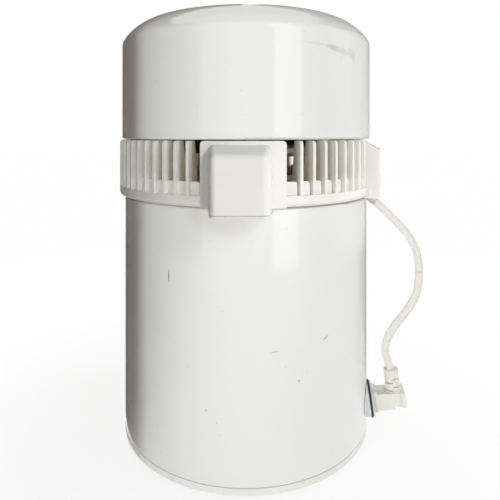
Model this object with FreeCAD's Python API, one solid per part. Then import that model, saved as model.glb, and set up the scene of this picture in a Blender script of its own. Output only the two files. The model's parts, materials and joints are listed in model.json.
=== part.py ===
import FreeCAD, Part
import math
import os

from FreeCAD import Vector

# Countertop water distiller: a boiler unit with a round enamelled body, and a lift-off condenser head.
# Millimetres. +Z is up, the floor is z = 0, the body's axis is the Z axis and the outlet nozzle faces -Y.
# Azimuths are in degrees from the front (-Y) towards +X.

# --- boiler unit ---
foot_reach = 2.0            # how far the feet stand below the base rim
body_radius = 112.25
shell_wall = 1.0
body_height = 209.5         # base rim's lower edge to the shell's top
rim_height = 5.0
rim_wall = 3.0
pan_floor = 2.0
spigot_height = 8.0
spigot_wall = 2.4
fit_gap = 0.3               # clearance between pieces that lift or slide apart
seat_gap = 0.05             # clearance between pieces that are fixed in each other
shell_edge_radius = 2.5
shell_flange_gap = 2.2      # the shell's inward flange stops short of the tank by this
tank_jacket = 10.45         # air between the shell's inside and the tank
tank_wall = 0.8
tank_over_inlet = 8.0       # the tank's bottom above the mains inlet's body
tank_corner = 8.0
tank_flange_setback = 1.25  # the tank's flange ends short of the shell's rounded edge
foot_radius = 9.0
foot_inset = 24.25          # the feet's centres from the body's outer face
foot_recess_radius = 3.4
foot_azimuths = (45.0, 135.0, 225.0, 315.0)
foot_screw_reach = 3.0      # how far the feet's screws stand above the pan's floor
screw_head_radius = 2.9
screw_head_height = 1.8
screw_radius = 1.5
screw_hole_gap = 0.1
vent_count = 10
vent_circle = 46.0
vent_length = 26.0
vent_width = 4.0

# --- heater under the tank ---
element_inset = 38.0        # the heating ring's centreline from the tank's inside
element_tube = 4.2
element_end_drop = 16.0
element_end_radius = 5.0
element_gap_half = 9.0      # half the break in the ring, at the back
element_touch = 0.05        # play between the ring, the tank and the clamp
clamp_margin = 20.0         # the clamp plate's edge beyond the ring's centreline
clamp_hub_margin = 12.0
clamp_slot_half = 18.0
clamp_slot_depth = 14.0
clamp_sheet = 1.5
stud_circle = 36.0
stud_azimuths = (60.0, 180.0, 300.0)
stud_radius = 2.5
stud_length = 15.0
nut_across = 8.0
nut_height = 4.0
thermostat_radius = 8.0
thermostat_height = 9.0
thermostat_cap = 3.0
thermostat_offset = 10.0    # each thermostat from the tank's axis
thermostat_tab_spacing = 8.0
thermostat_tab_width = 6.0
thermostat_tab_sheet = 0.8
thermostat_tab_length = 7.0

# --- rear fittings ---
inlet_height = 30.0         # height of the mains inlet's centre
inlet_width = 50.0
inlet_tall = 24.0
inlet_body_width = 27.0
inlet_body_tall = 19.6
inlet_mouth_width = 24.4
inlet_mouth_tall = 16.4
inlet_depth = 16.0
inlet_flange = 3.0
inlet_flange_corner = 5.0
inlet_back_wall = 2.5
inlet_pin_spacing = 7.0
inlet_earth_lift = 3.0
inlet_live_drop = 1.0
inlet_screw_length = 13.0
inlet_screw_spacing = 40.0
blade_pin_width = 2.0
blade_pin_tall = 5.0
blade_pin_length = 11.0
reset_azimuth = 148.0
reset_height = 30.0
reset_bezel_radius = 7.0
reset_bezel_reach = 2.5
reset_neck_radius = 5.0
reset_neck_length = 9.0
reset_bore = 3.4
reset_button_radius = 3.1
reset_button_length = 8.5
reset_button_proud = 1.0
reset_switch_size = 15.0
reset_well_depth = 3.0
reset_edge = 0.5

# --- fan socket and cord side ---
service_azimuth = 82.5
socket_height = 21.5
socket_tilt = 7.5           # degrees; the socket sits on a wedge bezel and faces a little upward
bezel_radius = 15.3
bezel_reach = 2.6           # at the socket's centre
neck_radius = 13.6
neck_length = 10.0
socket_bore = 10.8
gasket_thickness = 2.2
gasket_radius = 15.8
gasket_inner = 12.0
gasket_edge = 1.0
face_thickness = 1.3
face_radius = 14.8
insert_depth = 14.0
insert_floor = 1.5
contact_circle = 5.4
contact_count = 3
pin_radius = 1.9
contact_wall = 0.8
pin_length = 11.0
plug_nose_width = 18.0
plug_nose_tall = 19.6
plug_nose_length = 3.4
plug_width = 17.0
plug_tall = 14.0
plug_nose_corner = 3.0
plug_length = 21.3
plug_end_length = 3.5
plug_end_grow = 1.2
plug_end_corner = 1.5
plug_end_lift = 2.6
plug_end_step = 6.5         # length of the shaft's raised underside before the grip
boot_place = 138.0          # the strain relief's foot on the plug, from the body's axis
boot_top_radius = 5.9
boot_base_radius = 7.2
boot_collar_radius = 6.4
boot_collar_height = 2.4
boot_core_radius = 4.4
boot_slot_height = 1.0
boot_slot_count = 4
boot_slot_start = 7.7       # the first slot from the strain relief's top
boot_slot_spacing = 3.4
cord_diameter = 7.0
bend_share = 0.45           # each bend takes up this share of the shorter run beside it

# --- condenser head ---
ring_gap = 0.5              # shell's top to the ring's lower edge
ring_overhang = 4.75        # the ring's outer face beyond the body's
ring_height = 48.8          # lower edge to the louvres' tops
band_height = 8.5
band_wall = 4.0
band_edge_radius = 3.6
floor_rise = 4.3            # the ring floor's underside above the ring's lower edge
floor_thickness = 2.5
floor_edge_inset = 3.0      # the floor's flat margin ends inside the skirt by this
floor_hole_radius = 40.0
blade_pitch_count = 68      # louvre places round the whole ring
blade_phase = 0.4           # degrees; the first louvre place from the front
blade_thickness = 2.4
blade_root = 16.0           # the louvre's radial depth at its foot
blade_tip = 10.0
blade_corner = 2.8
step_width = 7.2            # the low wall between two louvres
step_depth = 3.0
step_setback = 3.6
step_height = 10.1
step_corner = 2.2
cover_gap = 0.7             # louvres' tops to the cover's lower edge
cover_setback = 2.0         # the cover's face inside the ring's
cover_wall = 1.2
cover_hem_radius = 2.0
hem_to_strap = 0.5          # the cover's hem clears the coil's straps by this
cover_straight = 83.0       # height of the cover's upright wall
crown_angles = (60.0, 45.0, 30.0, 15.0, 2.0)    # the crown's slope at the end of each arc
crown_radii = (8.0, 33.0, 49.0, 31.0, 110.0)    # the arcs' radii, from the shoulder inward
post_radius = 4.5
post_to_strap = 1.0
post_hole_depth = 14.0
cover_screw_length = 12.0
post_azimuths = (38.0, 142.0, 218.0, 322.0)
nozzle_half_angle = 15.5
nozzle_panel_proud = 1.0
nozzle_panel_corner = 3.0
nozzle_shift = -2.2         # the box's middle from the panel's
nozzle_reach = 19.0         # nozzle's front face beyond the ring
nozzle_front_half = 20.4
nozzle_root_half = 23.6
nozzle_drop = 3.7           # how far the nozzle hangs below the ring
nozzle_top_drop = 1.5       # drop of the box's top at the ring
nozzle_front_lower = 9.6    # drop of its front top edge below the louvres' tops
nozzle_round = 5.0
panel_depth = 8.0
cup_width = 32.0
cup_deep = 13.0
cup_wall = 1.2
cup_corner = 4.0
cup_spout_radius = 3.0
cup_setback = 3.2           # the cup's back from the nozzle's root
cup_flange = 1.4            # the cup's foot plate, as wide as the nozzle's underside
sachet_height = 20.0
sachet_gap = 0.2
exit_azimuth = 77.0
exit_half_width = 26.0
exit_reach = 7.0            # the cord box's outer face beyond the ring
exit_drop = 1.0
exit_round = 3.0
exit_bevel_height = 6.5
exit_bevel_depth = 12.5
exit_bevel_lean = 1.5
gland_radius = 4.3
gland_length = 8.0
plate_sheet = 1.0
skirt_gap = 1.0
skirt_depth = 11.3
plate_rise = 6.0
gasket_tall = 2.7
gasket_setback = 1.0        # the lid gasket's outer edge inside the plate's
riser_hole_gap = 0.3

# --- condenser, fan and motor ---
coil_setback = 10.0         # the coil's centreline from the fins' outer edge
coil_tube = 4.75
coil_wall = 0.8
coil_pitch = 18.0           # rise from one level of the coil to the next
coil_levels = 3
coil_clearance = 29.0       # ring floor to the lowest turn's underside
crossover_half_angle = 25.0
crossover_lead = 12.0
fin_angle = 20.0            # degrees from one fin to the next
fin_places = (2, 3, 4, 5, 6, 7, 11, 12, 13, 14, 15, 16)
fin_inside = 8.0            # the fins' inner edge from the coil's centreline
fin_thickness = 0.6
fin_margin = 3.0
fin_hole_gap = 0.15
strap_sheet = 1.5
strap_width = 12.0
strap_azimuths = (60.0, 140.0, 220.0, 300.0)
union_length = 13.0
union_size = 14.0
union_round = 3.0
riser_radius = 5.0
riser_inset = 14.5          # the riser's centre from the coil's centreline
riser_entry = 2.0
outlet_radius = 4.0
outlet_below_coil = 2.6     # the outlet tube's axis below the lowest turn's
cup_below_outlet = 6.0
outlet_channel_gap = 0.3
bracket_sheet = 1.5
bracket_width = 24.0
bracket_rise = 39.0
bracket_foot = 8.0
bracket_setback = 4.0       # the legs stand back from the hem's edge
motor_radius = 27.0
motor_height = 26.0
motor_corner = 3.0
motor_roof = 1.0
rotor_play = 1.0
shaft_end_play = 0.5
bearing_height = 5.0
rotor_radius = 12.6
rotor_gap = 0.4
rotor_height = 13.0
shaft_radius = 3.0
bearing_gap = 0.05
shaft_below_motor = 27.0
fan_to_riser = 4.5
fan_hub_radius = 12.0
fan_hub_height = 12.0
fan_blade_count = 5
fan_blade_chord = 36.0
fan_blade_sheet = 1.6
fan_blade_angle = 25.0      # degrees
fan_blade_corner = 12.0
fan_blade_root = 3.0        # how far the blades reach into the hub
fan_below_motor = 12.0
fan_nut_height = 4.5
fan_nut_across = 8.0

# The fan cord's route in the upright plane at service_azimuth: distance from the axis, height.
cord_upper_route = (
    (119.5, 204.8),
    (134.0, 191.0),
    (149.0, 175.5),
    (156.0, 163.5),
    (159.4, 151.5),
    (159.4, 140.5),
)
cord_lower_route = (
    (159.4, 140.5),
    (159.4, 128.5),
    (156.1, 116.5),
    (149.5, 105.0),
    (138.5, 91.0),
    (132.2, 80.0),
    (129.5, 71.5),
    (129.9, 62.5),
    (134.2, 50.5),
)

# --- heights that follow from the sizes above ---
rim_bottom = foot_reach
rim_top = rim_bottom + rim_height
pan_underside = rim_top - pan_floor
shell_top = rim_bottom + body_height
tank_flange_top = shell_top + tank_wall
tank_bottom = inlet_height + inlet_body_tall / 2 + tank_over_inlet
shell_inner = body_radius - shell_wall
tank_outer = shell_inner - tank_jacket
tank_inner_radius = tank_outer - tank_wall
tank_flange_radius = body_radius - shell_edge_radius - tank_flange_setback
skirt_outer = tank_inner_radius - skirt_gap
floor_edge_radius = skirt_outer - floor_edge_inset
ring_radius = body_radius + ring_overhang
ring_inner = ring_radius - band_wall
cover_radius = ring_radius - cover_setback
foot_circle = body_radius - foot_inset
element_radius = tank_inner_radius - element_inset
clamp_outer = element_radius + clamp_margin
clamp_inner = stud_circle - clamp_hub_margin
ring_bottom = shell_top + ring_gap
band_top = ring_bottom + band_height
floor_bottom = ring_bottom + floor_rise
floor_top = floor_bottom + floor_thickness
louvre_top = ring_bottom + ring_height
cover_bottom = louvre_top + cover_gap
hem_top = cover_bottom + cover_wall
shoulder = cover_bottom + cover_straight
pitch_angle = 360.0 / blade_pitch_count
panel_inner = ring_radius - panel_depth
fin_outer = floor_edge_radius
strap_outer = fin_outer + strap_sheet
coil_radius = fin_outer - coil_setback
fin_inner = coil_radius - fin_inside
riser_circle = coil_radius - riser_inset
fan_radius = riser_circle - riser_radius - fan_to_riser
post_circle = strap_outer + post_to_strap + post_radius
hem_inner = strap_outer + hem_to_strap
coil_start = floor_top + coil_clearance + coil_tube
coil_end = coil_start + coil_pitch * (coil_levels - 1)
fin_bottom = coil_start - coil_tube - fin_margin
fin_top = coil_end + coil_tube + fin_margin
outlet_height = coil_start - outlet_below_coil
bracket_top = hem_top + bracket_rise
motor_top = bracket_top - bracket_sheet
motor_bottom = motor_top - motor_height
bezel_face = body_radius + bezel_reach
gasket_face = bezel_face + gasket_thickness
socket_face_plane = gasket_face + face_thickness
plug_start = socket_face_plane + fit_gap
nozzle_bottom = ring_bottom - nozzle_drop + cup_flange + fit_gap
nozzle_face = ring_radius + nozzle_reach
cup_centre = body_radius + shell_wall + cup_setback + cup_deep / 2
cup_bottom = nozzle_bottom - cup_flange - fit_gap
cup_top = outlet_height - cup_below_outlet
exit_bottom = ring_bottom - exit_drop
past = 10.0                 # how far a cutting shape runs past what it cuts
same_place = 1e-6           # points nearer than this are one point

across = Vector(1, 0, 0)
outward = Vector(0, -1, 0)
upward = Vector(0, 0, 1)


def turned(shape, azimuth):
    """A shape made facing the front, turned to its azimuth."""
    copy = shape.copy()
    copy.rotate(Vector(0, 0, 0), upward, azimuth)
    return copy


def edges_along(shape, axis):
    """The edges of a block that run along the unit vector, by how far apart their ends are."""
    chosen = []
    for e in shape.Edges:
        ends = [v.Point for v in e.Vertexes]
        if abs((ends[-1] - ends[0]).dot(axis)) > seat_gap:
            chosen.append(e)
    return chosen


def disc(radius, bottom, top, x=0.0, y=0.0):
    return Part.makeCylinder(radius, top - bottom, Vector(x, y, bottom))


def tube(outer, inner, bottom, top, x=0.0, y=0.0):
    return disc(outer, bottom, top, x, y).cut(disc(inner, bottom - past, top + past, x, y))


def block(x_low, x_high, y_low, y_high, z_low, z_high):
    return Part.makeBox(x_high - x_low, y_high - y_low, z_high - z_low, Vector(x_low, y_low, z_low))


def out_cylinder(radius, start, end, height, x=0.0):
    """A cylinder along the outward direction, from one distance off the axis to another."""
    return Part.makeCylinder(radius, end - start, Vector(x, -start, height), outward)


def outline_wire(start, steps):
    """A closed wire in the XZ plane. A step is a point, or a pair (point on the arc, arc's end)."""
    edges = []
    here = Vector(start[0], 0, start[1])
    for step in steps:
        if isinstance(step[0], tuple):
            middle = Vector(step[0][0], 0, step[0][1])
            there = Vector(step[1][0], 0, step[1][1])
            edges.append(Part.Arc(here, middle, there).toShape())
        else:
            there = Vector(step[0], 0, step[1])
            edges.append(Part.LineSegment(here, there).toShape())
        here = there
    first = Vector(start[0], 0, start[1])
    if here.distanceToPoint(first) > same_place:
        edges.append(Part.LineSegment(here, first).toShape())
    return Part.Wire(edges)


def revolved(start, steps):
    face = Part.Face(outline_wire(start, steps))
    return face.revolve(Vector(0, 0, 0), upward, 360)


def corner(centre, radius, angle):
    """The point of a rounded corner at an angle in degrees round its centre."""
    turn = math.radians(angle)
    return (centre[0] + radius * math.cos(turn), centre[1] + radius * math.sin(turn))


def sector(inner, outer, bottom, top, middle_azimuth, half_angle):
    """A slice of a ring between two radii, centred on an azimuth."""
    face = Part.Face(outline_wire((inner, bottom), ((outer, bottom), (outer, top), (inner, top))))
    piece = face.revolve(Vector(0, 0, 0), upward, 2 * half_angle)
    return turned(piece, middle_azimuth - 90.0 - half_angle)


def hexagon(flats, bottom, top, x, y, bore):
    """A hexagon nut, with its distance across flats, that stands on its flat."""
    reach = flats / math.sqrt(3)
    points = []
    for k in range(7):
        angle = math.radians(60 * k)
        points.append(Vector(x + reach * math.cos(angle), y + reach * math.sin(angle), bottom))
    nut = Part.Face(Part.makePolygon(points)).extrude(Vector(0, 0, top - bottom))
    return nut.cut(disc(bore, bottom - past, top + past, x, y))


def circle_points(radius, azimuths):
    """Plan positions on a circle, at azimuths from the front."""
    spots = []
    for azimuth in azimuths:
        angle = math.radians(azimuth - 90.0)
        spots.append((radius * math.cos(angle), radius * math.sin(angle)))
    return spots


def route_edges(points):
    """Straight runs joined by tangent arcs, each as large as its runs allow, and the arcs' radii."""
    edges = []
    radii = []
    here = points[0]
    for k in range(1, len(points) - 1):
        before = points[k] - points[k - 1]
        after = points[k + 1] - points[k]
        half_turn = before.getAngle(after) / 2
        shorter = min(before.Length, after.Length)
        cut_back = bend_share * shorter
        arc_radius = cut_back / math.tan(half_turn)
        radii.append(arc_radius)
        unit_in = before.normalize()
        unit_out = after.normalize()
        start = points[k] - unit_in * cut_back
        end = points[k] + unit_out * cut_back
        inward = (unit_out - unit_in).normalize()
        sag = arc_radius / math.cos(half_turn) - arc_radius
        edges.append(Part.LineSegment(here, start).toShape())
        edges.append(Part.Arc(start, points[k] + inward * sag, end).toShape())
        here = end
    edges.append(Part.LineSegment(here, points[-1]).toShape())
    return edges, radii


def route_tube(points, radius):
    """A round bar along a route, its length and its arcs' radii."""
    edges, radii = route_edges(points)
    spine = Part.Wire(edges)
    heading = points[1] - points[0]
    ring = Part.Wire(Part.Circle(points[0], heading, radius).toShape())
    return spine.makePipeShell([ring], True, True), spine.Length, radii


# ---------------------------------------------------------------- boiler unit

def make_outer_shell():
    edge = (body_radius - shell_edge_radius, shell_top - shell_edge_radius)
    inner_radius = shell_edge_radius - shell_wall
    flange_end = tank_outer + shell_flange_gap
    shell = revolved(
        (body_radius, rim_top),
        (
            (body_radius, edge[1]),
            (corner(edge, shell_edge_radius, 45), (edge[0], shell_top)),
            (flange_end, shell_top),
            (flange_end, shell_top - shell_wall),
            (edge[0], shell_top - shell_wall),
            (corner(edge, inner_radius, 45), (shell_inner, edge[1])),
            (shell_inner, rim_top),
        ),
    )
    half_width = inlet_body_width / 2 + fit_gap
    half_tall = inlet_body_tall / 2 + fit_gap
    shell = shell.cut(
        block(-half_width, half_width, shell_inner - past, body_radius + past,
              inlet_height - half_tall, inlet_height + half_tall)
    )
    for side in (-1, 1):
        shell = shell.cut(inlet_screw_hole(side))
    low = shell_inner - past
    high = body_radius + past
    socket_hole = out_cylinder(neck_radius + seat_gap, low, high, socket_height)
    reset_hole = out_cylinder(reset_neck_radius + seat_gap, low, high, reset_height)
    return shell.cut(turned(socket_hole, service_azimuth)).cut(turned(reset_hole, reset_azimuth))


def inlet_screw_hole(side):
    """Hole for one of the mains inlet's two screws, through the inlet's flange and the shell."""
    start = Vector(side * inlet_screw_spacing / 2, shell_inner - past, inlet_height)
    return Part.makeCylinder(screw_radius + screw_hole_gap, 3 * past, start, outward * -1)


def make_base_pan():
    """Moulded base: a rim that carries the shell, a floor, and a spigot inside the shell."""
    spigot_outer = shell_inner - fit_gap
    spigot_inner = spigot_outer - spigot_wall
    pan = revolved(
        (0, pan_underside),
        (
            (body_radius - rim_wall, pan_underside),
            (body_radius - rim_wall, rim_bottom),
            (body_radius, rim_bottom),
            (body_radius, rim_top),
            (spigot_outer, rim_top),
            (spigot_outer, rim_top + spigot_height),
            (spigot_inner, rim_top + spigot_height),
            (spigot_inner, rim_top),
            (0, rim_top),
        ),
    )
    neck_path = out_cylinder(neck_radius + fit_gap, spigot_inner - past, shell_inner - fit_gap / 2,
                             socket_height)
    cutters = [turned(neck_path, service_azimuth)]
    for x, y in circle_points(foot_circle, foot_azimuths):
        cutters.append(disc(screw_radius + screw_hole_gap, pan_underside - past, rim_top + past, x, y))
    for k in range(vent_count):
        slot = block(-vent_width / 2, vent_width / 2, -vent_circle - vent_length / 2,
                     -vent_circle + vent_length / 2, pan_underside - past, rim_top + past)
        cutters.append(turned(slot, 360.0 * k / vent_count))
    return pan.cut(Part.makeCompound(cutters))


def make_rubber_feet():
    feet = []
    for x, y in circle_points(foot_circle, foot_azimuths):
        foot = disc(foot_radius, 0, pan_underside, x, y)
        foot = foot.cut(disc(foot_recess_radius, -past, pan_underside - foot_reach, x, y))
        feet.append(foot.cut(disc(screw_radius + screw_hole_gap, -past, pan_underside + past, x, y)))
    return Part.makeCompound(feet)


def make_foot_screws():
    screws = []
    seat = pan_underside - foot_reach
    for x, y in circle_points(foot_circle, foot_azimuths):
        head = disc(screw_head_radius, seat - screw_head_height, seat, x, y)
        screws.append(head.fuse(disc(screw_radius, seat, rim_top + foot_screw_reach, x, y)))
    return Part.makeCompound(screws)


def make_boiling_tank():
    """Deep-drawn stainless pot that hangs by its flange on the shell's top."""
    centre = (tank_outer - tank_corner, tank_bottom + tank_corner)
    inner_corner = tank_corner - tank_wall
    return revolved(
        (0, tank_bottom),
        (
            (centre[0], tank_bottom),
            (corner(centre, tank_corner, -45), (tank_outer, centre[1])),
            (tank_outer, shell_top),
            (tank_flange_radius, shell_top),
            (tank_flange_radius, tank_flange_top),
            (tank_inner_radius, tank_flange_top),
            (tank_inner_radius, centre[1]),
            (corner(centre, inner_corner, -45), (centre[0], tank_bottom + tank_wall)),
            (0, tank_bottom + tank_wall),
        ),
    )


element_height = tank_bottom - element_tube - element_touch
clamp_top = element_height - element_tube - element_touch
clamp_bottom = clamp_top - clamp_sheet


def make_heating_element():
    """Tubular ring under the tank, open at the back, with two sealed ends that point down."""
    half_angle = math.degrees(math.asin(element_gap_half / element_radius))
    middle = Vector(element_radius, 0, element_height)
    section = Part.Face(Part.Wire(Part.Circle(middle, outward, element_tube).toShape()))
    ring = section.revolve(Vector(0, 0, 0), upward, 360.0 - 2 * half_angle)
    ring = turned(ring, 90.0 + half_angle)
    ends = []
    y = math.sqrt(element_radius ** 2 - element_gap_half ** 2)
    for side in (-1, 1):
        ends.append(disc(element_end_radius, element_height - element_end_drop, element_height + element_tube,
                         side * element_gap_half, y))
    return ring.multiFuse(ends)


def make_heater_clamp():
    plate = tube(clamp_outer, clamp_inner, clamp_bottom, clamp_top)
    slot = block(-clamp_slot_half, clamp_slot_half, element_radius - clamp_slot_depth, clamp_outer + past,
                 clamp_bottom - past, clamp_top + past)
    plate = plate.cut(slot)
    for x, y in circle_points(stud_circle, stud_azimuths):
        plate = plate.cut(disc(stud_radius + screw_hole_gap, clamp_bottom - past, clamp_top + past, x, y))
    return plate


def make_heater_studs():
    studs = [
        disc(stud_radius, tank_bottom - stud_length, tank_bottom, x, y)
        for x, y in circle_points(stud_circle, stud_azimuths)
    ]
    return Part.makeCompound(studs)


def make_heater_nuts():
    nuts = [
        hexagon(nut_across, clamp_bottom - nut_height, clamp_bottom, x, y, stud_radius)
        for x, y in circle_points(stud_circle, stud_azimuths)
    ]
    return Part.makeCompound(nuts)


def make_thermostat(y):
    """Snap disc thermostat with two tabs, its cap against the tank's bottom."""
    cap_bottom = tank_bottom - thermostat_cap
    body_bottom = tank_bottom - thermostat_height
    cap = disc(thermostat_radius, cap_bottom, tank_bottom, 0, y)
    body = disc(thermostat_radius - thermostat_tab_sheet, body_bottom, cap_bottom, 0, y)
    tabs = []
    for side in (-1, 1):
        middle = side * thermostat_tab_spacing / 2
        tabs.append(block(middle - thermostat_tab_sheet / 2, middle + thermostat_tab_sheet / 2,
                          y - thermostat_tab_width / 2, y + thermostat_tab_width / 2,
                          body_bottom - thermostat_tab_length, body_bottom))
    return cap.multiFuse([body] + tabs)


def make_mains_inlet():
    """Appliance inlet at the back; its flange follows the body's curve."""
    half = inlet_width / 2
    flange = block(-half, half, body_radius - past, body_radius + inlet_flange,
                   inlet_height - inlet_tall / 2, inlet_height + inlet_tall / 2)
    flange = flange.makeFillet(inlet_flange_corner, edges_along(flange, outward))
    flange = flange.cut(disc(body_radius, 0, shell_top))
    back = body_radius + inlet_flange - inlet_depth - inlet_back_wall
    body = block(-inlet_body_width / 2, inlet_body_width / 2, back, body_radius + inlet_flange,
                 inlet_height - inlet_body_tall / 2, inlet_height + inlet_body_tall / 2)
    mouth = block(-inlet_mouth_width / 2, inlet_mouth_width / 2, back + inlet_back_wall, body_radius + past,
                  inlet_height - inlet_mouth_tall / 2, inlet_height + inlet_mouth_tall / 2)
    inlet = flange.fuse(body).cut(mouth)
    for side in (-1, 1):
        inlet = inlet.cut(inlet_screw_hole(side))
    return inlet


def make_inlet_pins():
    back = body_radius + inlet_flange - inlet_depth
    pins = []
    for place in (-1, 0, 1):
        x = place * inlet_pin_spacing
        height = inlet_height - inlet_live_drop if place else inlet_height + inlet_earth_lift
        pins.append(block(x - blade_pin_width / 2, x + blade_pin_width / 2, back, back + blade_pin_length,
                          height - blade_pin_tall / 2, height + blade_pin_tall / 2))
    return Part.makeCompound(pins)


def make_inlet_screws():
    face = body_radius + inlet_flange
    screws = []
    for side in (-1, 1):
        spot = Vector(side * inlet_screw_spacing / 2, face, inlet_height)
        head = Part.makeCylinder(screw_head_radius, screw_head_height, spot, outward * -1)
        screws.append(head.fuse(Part.makeCylinder(screw_radius, inlet_screw_length, spot, outward)))
    return Part.makeCompound(screws)


def make_reset_bezel():
    """Threaded bush of the thermal cut-out, with a flange outside the shell."""
    face = body_radius + reset_bezel_reach
    flange = out_cylinder(reset_bezel_radius, shell_inner, face, reset_height)
    flange = flange.cut(disc(body_radius, 0, shell_top))
    neck = out_cylinder(reset_neck_radius, body_radius - reset_neck_length, face - seat_gap, reset_height)
    bore = out_cylinder(reset_bore, body_radius - reset_neck_length - past, face + past, reset_height)
    return turned(flange.fuse(neck).cut(bore), reset_azimuth)


def make_reset_button():
    outer = body_radius + reset_bezel_reach + reset_button_proud
    button = out_cylinder(reset_button_radius, outer - reset_button_length, outer, reset_height)
    button = button.makeFillet(reset_edge, [button.Edges[0]])
    return turned(button, reset_azimuth)


def make_cutout_switch():
    """Thermal cut-out behind the reset button: a moulded body with a well for the button's travel."""
    front = body_radius - reset_neck_length
    half = reset_switch_size / 2
    body = block(-half, half, -front, -front + reset_switch_size, reset_height - half, reset_height + half)
    well = out_cylinder(reset_bore, front - reset_well_depth, front + past, reset_height)
    return turned(body.cut(well), reset_azimuth)


def on_socket(shape):
    """A shape made on a level socket at the front, tilted with the socket and turned to its side."""
    copy = shape.copy()
    copy.rotate(Vector(0, -bezel_face, socket_height), across, -socket_tilt)
    return turned(copy, service_azimuth)


def make_socket_bezel():
    """Wedge-shaped flange outside the shell, thin at its top, with a neck through the shell."""
    flange = on_socket(out_cylinder(bezel_radius, body_radius - past, bezel_face, socket_height))
    flange = flange.cut(disc(body_radius, -past, shell_top))
    neck = out_cylinder(neck_radius, body_radius - neck_length, body_radius + bezel_reach / 2, socket_height)
    outside = on_socket(out_cylinder(bezel_radius + past, bezel_face, bezel_face + past, socket_height))
    neck = turned(neck, service_azimuth).cut(outside)
    bore = out_cylinder(socket_bore, body_radius - 3 * past, body_radius + 3 * past, socket_height)
    return flange.fuse(neck).cut(on_socket(bore))


def make_socket_gasket():
    body = out_cylinder(gasket_radius, bezel_face, gasket_face, socket_height)
    body = body.makeFillet(gasket_edge, [body.Edges[0], body.Edges[2]])
    hole = out_cylinder(gasket_inner, bezel_face - past, gasket_face + past, socket_height)
    return on_socket(body.cut(hole))


def contact_spots():
    """Offsets of the contacts from the socket's centre, across and up."""
    spots = []
    for k in range(contact_count):
        angle = math.radians(90 + 360.0 * k / contact_count)
        spots.append((contact_circle * math.cos(angle), contact_circle * math.sin(angle)))
    return spots


def make_socket_face():
    """Moulded front of the socket; its contact holes guide the plug's pins."""
    face = out_cylinder(face_radius, gasket_face, socket_face_plane, socket_height)
    for x, up in contact_spots():
        hole = out_cylinder(pin_radius + fit_gap, gasket_face - past, socket_face_plane + past,
                            socket_height + up, x)
        face = face.cut(hole)
    return on_socket(face)


def make_socket_insert():
    back = gasket_face - insert_depth
    insert = out_cylinder(socket_bore - seat_gap, back, gasket_face, socket_height)
    for x, up in contact_spots():
        hole = out_cylinder(pin_radius + fit_gap + contact_wall + seat_gap, back + insert_floor,
                            gasket_face + past, socket_height + up, x)
        insert = insert.cut(hole)
    return on_socket(insert)


def make_socket_contacts():
    """Brass sleeves in the insert."""
    sleeves = []
    inner = pin_radius + fit_gap
    start = gasket_face - insert_depth + insert_floor
    for x, up in contact_spots():
        sleeve = out_cylinder(inner + contact_wall, start, gasket_face, socket_height + up, x)
        bore = out_cylinder(inner, start - past, gasket_face + past, socket_height + up, x)
        sleeves.append(on_socket(sleeve.cut(bore)))
    return Part.makeCompound(sleeves)


# ---------------------------------------------------------------- plug and cord

def make_plug_pins():
    pins = []
    for x, up in contact_spots():
        pin = out_cylinder(pin_radius, plug_start - pin_length, plug_start, socket_height + up, x)
        pins.append(on_socket(pin))
    return Part.makeCompound(pins)


def make_plug_body():
    """Right-angle plug: a nose that covers the socket, a shaft, and a raised grip at its end."""
    nose_end = plug_start + plug_nose_length
    shaft_end = nose_end + plug_length
    nose = block(-plug_nose_width / 2, plug_nose_width / 2, -nose_end, -plug_start,
                 socket_height - plug_nose_tall / 2, socket_height + plug_nose_tall / 2)
    half = plug_width / 2
    low = socket_height - plug_tall / 2
    high = socket_height + plug_tall / 2
    shaft = block(-half, half, -shaft_end, -nose_end + plug_nose_length / 2, low, high)
    step = block(-half - past, half + past, -shaft_end - past, -shaft_end + plug_end_step,
                 low - past, low + plug_end_lift)
    grip = block(-half - plug_end_grow, half + plug_end_grow, -shaft_end - plug_end_length, -shaft_end,
                 low + plug_end_lift - plug_end_grow, high)
    nose = nose.makeFillet(plug_nose_corner, edges_along(nose, outward))
    grip = grip.makeFillet(plug_end_corner, edges_along(grip, outward))
    return on_socket(nose.multiFuse([shaft.cut(step), grip]))


def route_vector(place):
    """A route point as a vector in the front plane."""
    return Vector(0, -place[0], place[1])


def make_plug_boot():
    """Tapered strain relief on the plug: a collar, and slots cut from its two sides by turns."""
    top = route_vector(cord_lower_route[-1])
    foot = Vector(0, -boot_place, socket_height)
    heading = (foot - top).normalize()
    length = (foot - top).Length
    cone = Part.makeCone(boot_top_radius, boot_base_radius, length, top, heading)
    collar = Part.makeCylinder(boot_collar_radius, boot_collar_height, top, heading)
    boot = cone.fuse(collar)
    for k in range(boot_slot_count):
        start = top + heading * (boot_slot_start + boot_slot_spacing * k - boot_slot_height / 2)
        slot = Part.makeCylinder(boot_base_radius + past, boot_slot_height, start, heading)
        slot = slot.cut(Part.makeCylinder(boot_core_radius, boot_slot_height, start, heading))
        if k % 2:
            side = block(-past, past, start.y, start.y + 2 * past, start.z - past, start.z + past)
        else:
            side = block(-past, past, start.y - 2 * past, start.y, start.z - past, start.z + past)
        boot = boot.cut(slot.common(side))
    return turned(boot, service_azimuth).cut(make_plug_body())


def make_cord(route, name):
    shape, length, radii = route_tube([route_vector(p) for p in route], cord_diameter / 2)
    print(name, "length", round(length, 1), "bend radii", [round(r, 1) for r in radii])
    return turned(shape, service_azimuth)


def make_cord_gland():
    """Rubber bush in the cord box's underside, pointing the way the cord leaves."""
    start = route_vector(cord_upper_route[0])
    heading = (route_vector(cord_upper_route[1]) - start).normalize()
    bush = Part.makeCylinder(gland_radius, gland_length, start, heading * -1)
    bush = bush.cut(disc(body_radius + fit_gap, 0, louvre_top))
    return turned(bush, service_azimuth)


# ---------------------------------------------------------------- condenser head

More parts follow.
